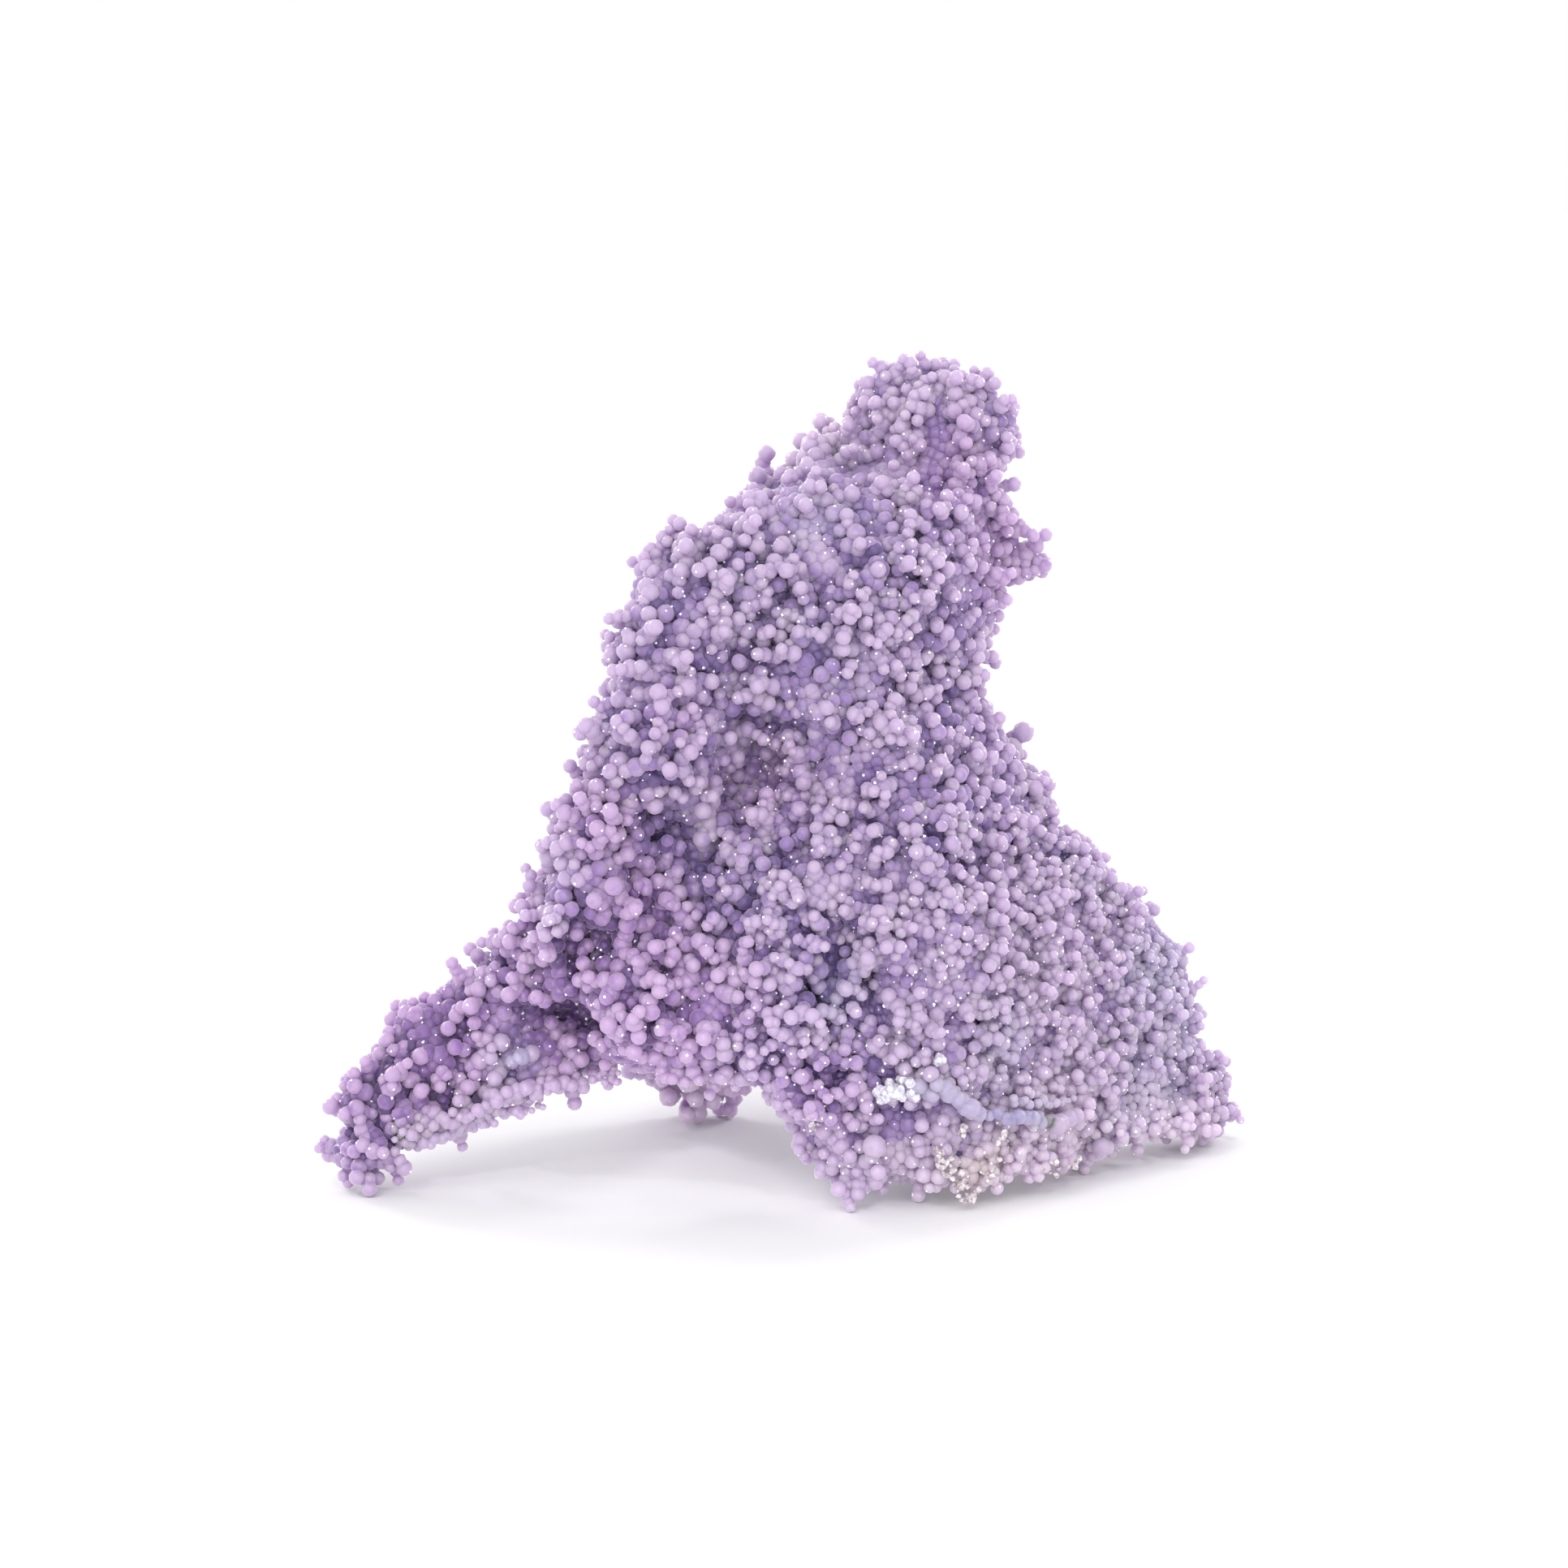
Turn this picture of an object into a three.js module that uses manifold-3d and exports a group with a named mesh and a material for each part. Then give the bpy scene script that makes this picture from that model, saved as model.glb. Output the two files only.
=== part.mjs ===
// A specimen of botryoidal purple chalcedony: a thin crust folded like a tent, standing on its own edges.
// Millimetres, +Z up. X runs to the right and +Y away from the viewer. The origin is under the middle of the
// bounding box, on the surface that the specimen stands on.
import * as THREE from 'three';
import { MeshSurfaceSampler } from 'three/addons/math/MeshSurfaceSampler.js';
import { MarchingCubes } from 'three/addons/objects/MarchingCubes.js';
import { mergeVertices } from 'three/addons/utils/BufferGeometryUtils.js';
import Module from 'manifold-3d';

const wasm = await Module();
wasm.setup();

// The crust is a net of knots. Each knot is a ball, given as x, y, z and its radius, and each patch of the
// crust is filled with balls between its knots, so the radius is half the thickness of the crust there.
const knots = {
  peak: [17.5, 6, 112, 7],
  brow: [27.2, 4, 110.4, 6.5],
  nape: [11, 12, 102, 7],
  cheek: [25.6, 2, 98, 8],
  spur: [34.5, 5, 89.5, 2.6],
  neck: [23.2, -2, 83, 9],
  waist: [20, -4, 71, 8.6],
  hip: [29.6, 0, 57, 8.4],
  haunch: [36, 0, 46.5, 7.4],
  flank: [44.6, 3, 38.6, 7.8],
  flankLow: [53.8, 6, 26.5, 7.5],
  hem: [59.5, 8, 13.5, 6.8],
  corner: [67.5, 8, 3.4, 4.2],
  hemInner: [54, -3, 6.2, 5.5],
  hemFront: [41, -13, 6.4, 5.4],
  hemArch: [33, -20, 9, 5.6],
  toeRight: [26.3, -27, 1.6, 3],
  toeLeft: [11, -27, 2, 3.5],
  instep: [18, -26, 11, 5.5],
  skirt: [31, -16, 28, 9],
  belly: [18, -24, 42, 9],
  chest: [17, -18, 59, 9],
  breast: [5, -16, 77, 9.5],
  collar: [16, -10, 91, 9.5],
  ledge: [4, -10, 95, 8],
  shoulder: [-14, -14, 86.8, 9],
  armHigh: [-15.8, -20, 76, 9],
  armMid: [-19.5, -22, 65, 9],
  elbow: [-24.2, -22, 54, 9],
  forearm: [-27.5, -20, 42, 9],
  wrist: [-24, -24, 28.5, 8],
  foldHigh: [-3, -8, 80, 8],
  foldMid: [-4, -6, 66, 8],
  foldLow: [-7, -10, 48, 8],
  ribHigh: [-1, -24, 42, 8.5],
  ribLeft: [-8, -24, 26, 8],
  ribLow: [5.5, -26, 20, 7],
  groove: [7.5, -17, 32, 7.5],
  wingRoot: [-33, -12, 33, 7.5],
  wingTop: [-43, -12, 27, 6.5],
  wingLow: [-41, -14, 16.4, 5],
  wingOuter: [-55, -15, 20, 5.8],
  wingHem: [-53, -17, 10.2, 3.8],
  rimRoot: [-27, -12, 19.8, 4.5],
  tipTop: [-61.5, -16, 12, 4.4],
  tip: [-63.8, -19, 2.2, 3.8],
  crestHigh: [10, 16, 103.5, 4.6],
  crestMid: [-2.5, 14, 94, 5.6],
  crestLow: [-8, 8, 88, 7],
  backHigh: [3, 18, 76, 9],
  backMid: [-3, 22, 50, 9.5],
  backLow: [-9, 23, 25, 8.5],
  calf: [-19, 21, 13, 5.6],
  heel: [-12.5, 19, 2.8, 4.2],
};

const patches = [
  ['peak', 'brow', 'nape', 'cheek'],
  ['nape', 'cheek', 'collar', 'ledge'],
  ['cheek', 'neck', 'collar'],
  ['cheek', 'spur'],
  ['ledge', 'collar', 'breast'],
  ['collar', 'neck', 'waist', 'breast'],
  ['shoulder', 'ledge', 'foldHigh'],
  ['foldHigh', 'ledge', 'breast'],
  ['shoulder', 'armHigh', 'foldHigh'],
  ['armHigh', 'armMid', 'foldMid', 'foldHigh'],
  ['foldHigh', 'breast', 'foldMid'],
  ['armMid', 'elbow', 'foldMid'],
  ['elbow', 'foldLow', 'foldMid'],
  ['breast', 'waist', 'chest'],
  ['foldMid', 'breast', 'chest'],
  ['foldMid', 'foldLow', 'ribHigh'],
  ['foldMid', 'ribHigh', 'chest'],
  ['waist', 'hip', 'chest'],
  ['chest', 'ribHigh', 'belly'],
  ['chest', 'hip', 'belly'],
  ['hip', 'haunch', 'belly'],
  ['haunch', 'flank', 'belly'],
  ['flank', 'skirt', 'belly'],
  ['flank', 'flankLow', 'skirt'],
  ['flankLow', 'hem', 'skirt'],
  ['hem', 'corner', 'hemInner'],
  ['hem', 'hemInner', 'skirt'],
  ['skirt', 'hemInner', 'hemFront'],
  ['skirt', 'hemFront', 'hemArch'],
  ['skirt', 'hemArch', 'toeRight'],
  ['belly', 'skirt', 'toeRight'],
  ['ribHigh', 'belly', 'groove'],
  ['groove', 'ribLow', 'ribHigh'],
  ['groove', 'belly', 'toeLeft'],
  ['groove', 'ribLow', 'toeLeft'],
  ['belly', 'toeLeft', 'instep'],
  ['belly', 'toeRight', 'instep'],
  ['ribHigh', 'ribLeft', 'foldLow'],
  ['ribHigh', 'ribLeft', 'ribLow'],
  ['foldLow', 'elbow', 'forearm'],
  ['foldLow', 'forearm', 'wrist'],
  ['foldLow', 'wrist', 'ribLeft'],
  ['forearm', 'wingRoot', 'wrist'],
  ['wingRoot', 'wingTop', 'wingLow', 'rimRoot'],
  ['wingRoot', 'rimRoot', 'wrist'],
  ['wingTop', 'wingLow', 'wingOuter', 'wingHem'],
  ['wingOuter', 'wingHem', 'tip', 'tipTop'],
  ['nape', 'peak', 'crestHigh'],
  ['crestHigh', 'crestMid', 'nape', 'ledge'],
  ['crestMid', 'crestLow', 'ledge'],
  ['crestLow', 'shoulder', 'ledge'],
  ['crestHigh', 'crestMid', 'backHigh'],
  ['crestMid', 'crestLow', 'backHigh'],
  ['nape', 'neck', 'collar', 'backHigh'],
  ['crestLow', 'foldHigh', 'backHigh', 'shoulder'],
  ['backHigh', 'foldHigh', 'foldMid', 'backMid'],
  ['backHigh', 'neck', 'breast'],
  ['backMid', 'foldMid', 'foldLow', 'backLow'],
  ['backLow', 'calf', 'heel'],
  ['backLow', 'foldLow', 'heel'],
];

// Hollows sunk into the front: middle, half sizes along X, Y and Z, and lean to the right in degrees.
const hollows = [
  { middle: [-17, -31, 51], half: [5, 9, 9], lean: -14 },
  { middle: [-31, -22, 25], half: [6, 8, 5], lean: 0 },
  { middle: [-29, -28, 37], half: [3, 6, 5], lean: 0 },
  { middle: [-11.5, -29, 75], half: [3, 6, 5], lean: -10 },
  { middle: [-4, -24, 63], half: [4, 8, 8], lean: 20 },
  { middle: [7.5, -26, 33], half: [3, 7, 10], lean: -12 },
];

const cells = 64;           // cells along each side of the cube that the surface is traced in
const side = 211;           // length of that cube's side
const cubeMiddle = new THREE.Vector3(0, 0, 57.5);
const cell = side / cells;
const patchSteps = 7;       // balls along each side of a patch
const outside = -9;         // depth given to grid points with nothing near them
const clear = 0.25;         // least depth or height of a grid point, which keeps the facets from being slivers
const lumpSeed = 20;
const frontLump = { radius: [3.8, 5.2], gap: 8 };
const backLump = { radius: [4.4, 6], gap: 9.6 };
const backFacing = 0.25;    // a face that looks this far away from the viewer belongs to the back
const lumpSink = 0.4;       // share of a lump's radius by which its middle lies under the crust
const bareFoot = 5;         // height below which no lumps stand
const hollowRim = 1;        // distance from a hollow within which no lumps stand
const tries = 12000;

function seededRandom(seed) {
  let state = seed >>> 0;
  return () => {
    state = (state + 0x6d2b79f5) >>> 0;
    let t = state;
    t = Math.imul(t ^ (t >>> 15), t | 1);
    t ^= t + Math.imul(t ^ (t >>> 7), t | 61);
    return ((t ^ (t >>> 14)) >>> 0) / 4294967296;
  };
}

// All the ways to share a number of steps among some knots.
function shares(count, steps) {
  if (count === 1) return [[steps]];
  const found = [];
  for (let first = 0; first <= steps; first += 1) {
    for (const rest of shares(count - 1, steps - first)) found.push([first, ...rest]);
  }
  return found;
}

function ballBetween(names, share) {
  const middle = new THREE.Vector3();
  let radius = 0;
  names.forEach((name, n) => {
    const [x, y, z, size] = knots[name];
    middle.addScaledVector(new THREE.Vector3(x, y, z), share[n] / patchSteps);
    radius += size * share[n] / patchSteps;
  });
  return { middle, radius };
}

function crustBalls() {
  return patches.flatMap((names) => shares(names.length, patchSteps).map((share) => ballBetween(names, share)));
}

// How far a point lies outside a hollow: below 0 inside it.
function wayOut({ middle, half, lean }, point) {
  const upright = new THREE.Euler(0, -THREE.MathUtils.degToRad(lean), 0);
  const within = point.clone().sub(new THREE.Vector3(...middle)).applyEuler(upright);
  return (within.divide(new THREE.Vector3(...half)).length() - 1) * Math.min(...half);
}

// The stone as depths on the grid points of a cube: above 0 inside the stone, below 0 outside it.
class Stone {
  constructor() {
    this.cubes = new MarchingCubes(cells, undefined, false, false, 40000);
    this.cubes.isolation = 0;
    this.depths = this.cubes.field.fill(outside);
    this.corner = cubeMiddle.clone().subScalar(side / 2);
  }

  // Calls change(index, point) for each grid point within reach of a place.
  around(place, reach, change) {
    const toSteps = (point) => point.sub(this.corner).divideScalar(cell);
    const first = toSteps(place.clone().subScalar(reach)).ceil().clampScalar(1, cells - 2);
    const last = toSteps(place.clone().addScalar(reach)).floor().clampScalar(1, cells - 2);
    const step = new THREE.Vector3();
    for (step.z = first.z; step.z <= last.z; step.z += 1) {
      for (step.y = first.y; step.y <= last.y; step.y += 1) {
        for (step.x = first.x; step.x <= last.x; step.x += 1) {
          const index = step.x + cells * (step.y + cells * step.z);
          change(index, step.clone().multiplyScalar(cell).add(this.corner));
        }
      }
    }
  }

  add({ middle, radius }) {
    this.around(middle, radius - outside, (index, point) => {
      this.depths[index] = Math.max(this.depths[index], radius - point.distanceTo(middle));
    });
  }

  sink(hollow) {
    this.around(new THREE.Vector3(...hollow.middle), 2 * Math.max(...hollow.half), (index, point) => {
      this.depths[index] = Math.min(this.depths[index], wayOut(hollow, point));
    });
  }

  // Fills the pockets that no way through empty grid points joins to the outside.
  fillPockets() {
    const open = new Set([0]);
    for (const index of open) {
      for (const step of [1, cells, cells * cells]) {
        for (const next of [index - step, index + step]) {
          if (this.depths[next] <= 0) open.add(next);
        }
      }
    }
    this.depths.forEach((depth, index) => {
      if (depth <= 0 && !open.has(index)) this.depths[index] = clear;
    });
  }

  // The surface between inside and outside.
  surface() {
    this.depths.forEach((depth, index) => {
      if (Math.abs(depth) < clear) this.depths[index] = depth > 0 ? clear : -clear;
    });
    this.cubes.update();
    const corners = this.cubes.geometry.attributes.position.array.slice(0, 3 * this.cubes.count);
    const faces = new THREE.BufferGeometry();
    faces.setAttribute('position', new THREE.BufferAttribute(corners, 3));
    faces.scale(side / 2, side / 2, side / 2).translate(...cubeMiddle);
    return mergeVertices(faces, 1e-3);
  }
}

function solidFrom(geometry) {
  return new wasm.Manifold(new wasm.Mesh({
    numProp: 3,
    vertProperties: geometry.attributes.position.array,
    triVerts: new Uint32Array(geometry.index.array),
  }));
}

// Lumps that stand on the crust, spread so that no two are closer than their gap.
function lumpsOn(crust) {
  const random = seededRandom(lumpSeed);
  crust.computeVertexNormals();
  const sampler = new MeshSurfaceSampler(new THREE.Mesh(crust)).setRandomGenerator(random).build();
  const place = new THREE.Vector3();
  const outward = new THREE.Vector3();
  const lumps = [];
  for (let n = 0; n < tries; n += 1) {
    sampler.sample(place, outward);
    const kind = outward.y > backFacing ? backLump : frontLump;
    const radius = THREE.MathUtils.lerp(...kind.radius, random());
    if (place.z < bareFoot || hollows.some((hollow) => wayOut(hollow, place) < hollowRim)) continue;
    if (lumps.some((lump) => lump.place.distanceTo(place) < (lump.gap + kind.gap) / 2)) continue;
    const middle = place.clone().addScaledVector(outward, -lumpSink * radius);
    lumps.push({ place: place.clone(), gap: kind.gap, middle, radius });
  }
  return lumps;
}

function chalcedonyGeometry() {
  const stone = new Stone();
  crustBalls().forEach((ball) => stone.add(ball));
  stone.fillPockets();
  hollows.forEach((hollow) => stone.sink(hollow));
  lumpsOn(stone.surface()).forEach((lump) => stone.add(lump));
  stone.fillPockets();
  const ground = new THREE.BoxGeometry(2 * side, 2 * side, side).translate(0, 0, -side / 2);
  ground.deleteAttribute('normal').deleteAttribute('uv');
  const mesh = solidFrom(stone.surface()).subtract(solidFrom(mergeVertices(ground))).getMesh();
  const geometry = new THREE.BufferGeometry();
  geometry.setAttribute('position', new THREE.BufferAttribute(mesh.vertProperties, 3));
  geometry.setIndex(new THREE.BufferAttribute(mesh.triVerts, 1));
  geometry.computeVertexNormals();
  return geometry;
}

const chalcedony = new THREE.Mesh(
  chalcedonyGeometry(),
  new THREE.MeshStandardMaterial({ color: 0xb49fca, roughness: 0.42, metalness: 0 }),
);
chalcedony.name = 'chalcedony';
const middle = new THREE.Box3().setFromObject(chalcedony).getCenter(new THREE.Vector3());
chalcedony.position.set(-middle.x, -middle.y, 0);

const specimen = new THREE.Group();
specimen.add(chalcedony);
export default specimen;
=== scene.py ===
import math
import random

import bmesh
import bpy
import numpy as np
from mathutils import Matrix, Vector, noise
from mathutils.bvhtree import BVHTree
from mathutils.kdtree import KDTree


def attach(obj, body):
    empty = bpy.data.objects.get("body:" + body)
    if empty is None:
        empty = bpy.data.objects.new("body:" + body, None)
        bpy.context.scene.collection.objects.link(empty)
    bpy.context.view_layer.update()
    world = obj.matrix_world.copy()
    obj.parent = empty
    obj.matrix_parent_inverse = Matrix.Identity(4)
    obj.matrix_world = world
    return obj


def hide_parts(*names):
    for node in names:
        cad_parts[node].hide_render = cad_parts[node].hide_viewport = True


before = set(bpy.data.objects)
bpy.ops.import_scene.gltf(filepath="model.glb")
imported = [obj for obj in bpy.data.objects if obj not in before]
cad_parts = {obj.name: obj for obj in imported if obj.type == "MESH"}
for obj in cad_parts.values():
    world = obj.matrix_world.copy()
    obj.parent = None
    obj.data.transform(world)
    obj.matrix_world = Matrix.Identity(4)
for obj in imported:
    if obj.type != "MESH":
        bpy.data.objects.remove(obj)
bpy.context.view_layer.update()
mm = 0.001
fullTurn = 6.28  # radians
ballCuts = 2     # how often a ball's faces are divided


# nodes written as expressions
class Wire:
    def __init__(self, board, socket):
        self.board, self.socket = board, socket

    def math(self, operation, first, second):
        return self.board.add("ShaderNodeMath", {"operation": operation}, {0: first, 1: second})

    def __add__(self, other): return self.math("ADD", self, other)
    def __radd__(self, other): return self.math("ADD", other, self)
    def __sub__(self, other): return self.math("SUBTRACT", self, other)
    def __rsub__(self, other): return self.math("SUBTRACT", other, self)
    def __mul__(self, other): return self.math("MULTIPLY", self, other)
    def __rmul__(self, other): return self.math("MULTIPLY", other, self)
    def __gt__(self, other): return self.math("GREATER_THAN", self, other)
    def __pow__(self, other): return self.math("POWER", self, other)


class Board:
    def __init__(self, tree):
        self.tree = tree

    def socket(self, sockets, name):
        if isinstance(name, int):
            return sockets[name]
        fitting = [one for one in sockets if one.name == name and one.enabled]
        return (fitting or [one for one in sockets if one.identifier == name])[0]

    def add(self, kind, settings=None, values=None, out=None):
        node = self.tree.nodes.new(kind)
        for name, value in (settings or {}).items():
            setattr(node, name, value)
        for name, value in (values or {}).items():
            target = self.socket(node.inputs, name)
            if isinstance(value, Wire):
                self.tree.links.new(value.socket, target)
            else:
                target.default_value = value
        if out is None:
            found = [one for one in node.outputs if one.enabled]
            return Wire(self, found[0]) if found else node
        return Wire(self, self.socket(node.outputs, out))

    def mix(self, share, first, second):
        return self.add("ShaderNodeMix", {"data_type": "RGBA"},
                        {"Factor_Float": share, "A_Color": first, "B_Color": second}, "Result_Color")

    def vector(self, operation, first, second, name=1):
        return self.add("ShaderNodeVectorMath", {"operation": operation}, {0: first, name: second})

    def scaled(self, first, share):
        return self.vector("SCALE", first, share, "Scale")

    def unit(self, first):
        return self.add("ShaderNodeVectorMath", {"operation": "NORMALIZE"}, {0: first})

    def clouds(self, where, scale, detail, out=None):
        values = {"Vector": where, "Scale": scale, "Detail": detail}
        return self.add("ShaderNodeTexNoise", None, values, out)

    def dice(self, low, high, seed, kind="FLOAT"):
        values = {"Min": low, "Max": high, "Seed": seed}
        return self.add("FunctionNodeRandomValue", {"data_type": kind}, values)

    def named(self, kind, name):
        return self.add("GeometryNodeInputNamedAttribute", {"data_type": kind}, {"Name": name})

    def stored(self, geometry, kind, domain, name, value):
        return self.add("GeometryNodeStoreNamedAttribute", {"data_type": kind, "domain": domain},
                        {"Geometry": geometry, "Name": name, "Value": value})


def rgb(red, green, blue):  # a colour as seen on a screen, 0 to 255, in linear light
    return tuple(((c / 255 + 0.055) / 1.055) ** 2.4 if c > 10 else c / 255 / 12.92
                 for c in (red, green, blue)) + (1.0,)


def readField(items, field, width=1, kind=float):  # one field of a mesh's points, edges, faces or marks
    values = np.empty(len(items) * width, kind)
    items.foreach_get(field, values)
    return values.reshape(-1, width) if width > 1 else values


def addMark(mesh, name, kind, domain, values):  # an attribute that a node tree or a material reads
    mark = mesh.attributes.new(name, kind, domain)
    mark.data.foreach_set("value", values.astype(np.int32 if kind == "INT" else np.float32))


def asPlainMesh(thing):  # what the object's modifiers leave of it
    shown = thing.evaluated_get(bpy.context.evaluated_depsgraph_get())
    mesh = bpy.data.meshes.new_from_object(shown)
    thing.modifiers.clear()
    return mesh


def newObject(name, data):
    thing = bpy.data.objects.new(name, data)
    bpy.context.scene.collection.objects.link(thing)
    return thing


def addPiece(name, mesh):
    piece = newObject(name, mesh)
    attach(piece, "root")
    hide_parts("chalcedony")
    print("piece", name, len(mesh.polygons), "faces")


def newMaterial(name, surface):
    material = bpy.data.materials.new(name)
    material.use_nodes = True
    shader = material.node_tree.nodes["Principled BSDF"]
    for label, value in surface.items():
        shader.inputs[label].default_value = value
    return material, Board(material.node_tree), shader


def thin(thing, keep):
    modifier = thing.modifiers.new("thin", "DECIMATE")
    modifier.ratio, modifier.use_collapse_triangulate = keep, True


def nearestTree(points):
    near = KDTree(len(points))
    for i, point in enumerate(points.tolist()):
        near.insert(point, i)
    near.balance()
    return near


# camera, floor and light
cameraSet = {"aim": (-1.375 * mm, 1.09 * mm, 57.26 * mm), "away": 0.56,
             "up": 10, "lens": 85.88, "film": 36, "sees": 50}
floorSet = {"half": 6.0, "paper": {"Base Color": (0.88, 0.88, 0.89, 1), "Roughness": 0.8}}
lightSet = {
    "sky": ((1.0, 1.0, 1.0, 1), 1.0),
    "suns": [  # name, the way it comes from, its spread in degrees, strength, colour
        ("key", (-0.5, -0.8, 1.0), 25, 0.35, (1.0, 0.99, 0.98)),
        ("rimRight", (0.9, 0.9, 0.7), 15, 0.8, (1.0, 0.97, 0.99)),
        ("rimLeft", (-0.9, 0.9, 0.7), 15, 0.8, (1.0, 0.97, 0.99)),
    ],
    "sparks": [  # small lamps that the wet-looking beads mirror: name, place, size, watts
        ("sparkLeft", (-0.3, -0.7, 0.5), 0.012, 0.65),
        ("sparkRight", (0.25, -0.6, 0.7), 0.012, 0.65),
    ],
    "sparkAim": (0, 0, 0.05),
    # a soft lamp near the ground: place, aim, size, watts
    "low": ((0.12, -0.7, 0.14), (0.02, 0, 0.02), 0.5, 0.9),
    # a narrow lamp that fills the arch: place, aim, degrees, size, watts
    "spot": ((-0.06, -0.45, 0.02), (-0.0145, 0.0155, 0.002), 6.5, 0.04, 8.0),
}


def aimed(thing, place, at):
    thing.location = place
    thing.rotation_euler = (Vector(at) - Vector(place)).to_track_quat("-Z", "Y").to_euler()


def addCamera(values):
    lens = bpy.data.cameras.new("camera")
    lens.lens, lens.sensor_width, lens.clip_end = values["lens"], values["film"], values["sees"]
    eye = newObject("camera", lens)
    up = math.radians(values["up"])
    at = Vector(values["aim"])
    aimed(eye, at + Vector((0, -math.cos(up), math.sin(up))) * values["away"], at)
    bpy.context.scene.camera = eye


def addFloor(values):
    half = values["half"]
    corners = [(-half, -half, 0), (half, -half, 0), (half, half, 0), (-half, half, 0)]
    mesh = bpy.data.meshes.new("floor")
    mesh.from_pydata(corners, [], [(0, 1, 2, 3)])
    floor = newObject("floor", mesh)
    mesh.materials.append(newMaterial("whitePaper", values["paper"])[0])


def addLights(values):
    world = bpy.data.worlds.new("studio")
    bpy.context.scene.world = world
    world.use_nodes = True
    sky = world.node_tree.nodes["Background"].inputs
    sky["Color"].default_value, sky["Strength"].default_value = values["sky"]
    for name, way, angle, power, tint in values["suns"]:
        sun = bpy.data.lights.new(name, "SUN")
        sun.angle, sun.energy, sun.color = math.radians(angle), power, tint
        aimed(newObject(name, sun), way, (0, 0, 0))
    lamps = [(name, place, values["sparkAim"], *rest) for name, place, *rest in values["sparks"]]
    for name, place, at, size, power in lamps + [("low", *values["low"])]:
        lamp = bpy.data.lights.new(name, "AREA")
        lamp.shape, lamp.size, lamp.energy = "DISK", size, power
        aimed(newObject(name, lamp), place, at)
    place, at, cone, size, power = values["spot"]
    lamp = bpy.data.lights.new("spot", "SPOT")
    lamp.spot_size, lamp.spot_blend = math.radians(cone), 1.0
    lamp.shadow_soft_size, lamp.energy = size, power
    aimed(newObject("spot", lamp), place, at)


addCamera(cameraSet)
addFloor(floorSet)
addLights(lightSet)
bpy.context.scene.view_settings.view_transform = "Standard"
print("camera, floor and light are set")


# a region is where its middles, in mm, are the nearest; the skirt and the hem have the finest beads
regions = {
    "tower": {"middles": [(18, 6, 106), (26, 4, 96), (22, 0, 84), (33, 5, 92)], "radius": 0.92},
    "shoulder": {"middles": [(-8, -2, 90), (-16, -14, 80), (2, 0, 94), (-17, -20, 66)], "radius": 1.01},
    "arm": {"middles": [(-22, -20, 50), (-26, -18, 36), (-22, -24, 24), (-10, -14, 40)],
            "radius": 1.01},
    "wing": {"middles": [(-42, -12, 24), (-56, -15, 16), (-64, -18, 4)], "radius": 1.03},
    "chest": {"middles": [(8, -14, 70), (20, -12, 62), (4, -10, 52), (28, -6, 52)], "radius": 0.91},
    "belly": {"middles": [(6, -26, 38), (14, -26, 20), (0, -26, 18), (20, -22, 44)], "radius": 0.92},
    "skirt": {"middles": [(36, -12, 26), (34, -16, 10), (40, -4, 44)], "radius": 0.83},
    "hem": {"middles": [(54, 0, 18), (50, 2, 34), (60, 6, 6)], "radius": 0.82},
    "back": {"middles": [(0, 24, 76), (-4, 30, 52), (6, 16, 92)], "radius": 1.3},
    "heel": {"middles": [(-10, 30, 26), (-14, 22, 8), (-8, 12, 26)], "radius": 1.3},
    "sill": {"middles": [(-15, 11, 3)], "radius": 0.98},
    "lining": {"middles": [(22, 8, 30), (36, 10, 24), (24, 12, 56)], "radius": 1.4},
}
farSide = ("back", "heel", "lining")
crust = {
    "depth": 3.45,     # mm from the solid's surface in to the groundmass that the beads grow on
    "share": 0.33,     # of the thickness, where the stone is thin
    "start": 0.1,      # mm inside the surface, where the thickness is measured from
    "thickest": 0.05,  # m, as far as it is measured
    "evening": 4,      # turns that even the depth out
    "voxel": 0.8,      # mm
    "seam": 1e-6,      # m, corners closer than this are one
    "keep": 0.3,       # share of the groundmass's triangles that is kept once the beads are on it
}
growth = {
    "spacing": 1.36,   # of a bead's radius, between the beads of the bottom layer
    "density": 4e6,    # points to a square metre, before the spacing thins them
    "rise": 0.1,       # mm that the bottom layer's middles lie over the groundmass
    "small": 0.8,      # of the radius, the smallest beads
    "large": 1.2,      # of the radius, the largest beads
    "rarer": 1.6,      # power that makes the large ones rare
    "bottom": 1.27,    # size of the bottom layer's beads
    "chain": 1.24,     # size of the beads of a chain
    "taper": 0.05,     # less for each bead further out
    "step": 1.34,      # of a radius, from one bead of a chain to the next
    "wander": 1.0,     # how far a chain strays sideways
    "straight": 0.7,   # how much a chain keeps its way
    "patch": 7.5,      # mm across of the winding ridges where chains grow
    "clouds": 0.6,     # weight of the soft patches between them
    "winding": 0.5,    # weight of the ridges
    "crest": 0.62,     # height of a ridge
    "steep": 3.4,      # how fast it falls off
    "shift": (0.3, 0.1, 0.2),  # m, so that ridges and patches differ
    "luck": 0.07,      # chance of its own that each bead has
    "bars": ((1, 0.38), (2, 0.43), (3, 0.475), (4, 0.54)),  # what each bead of a chain has to pass
    "seed": 100, "next": 50,   # of the first region, and what each further one adds
    # what a kind of draw adds to the seed, a chain's with its level on top
    "draws": {"size": 1, "luck": 10, "stray": 20, "chain": 30, "turn": 40},
    "keep": 0.31,      # share of the joined beads' triangles that is kept
    "keepBack": 0.24,  # and on the far side, where the photo gives no detail
}

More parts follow.
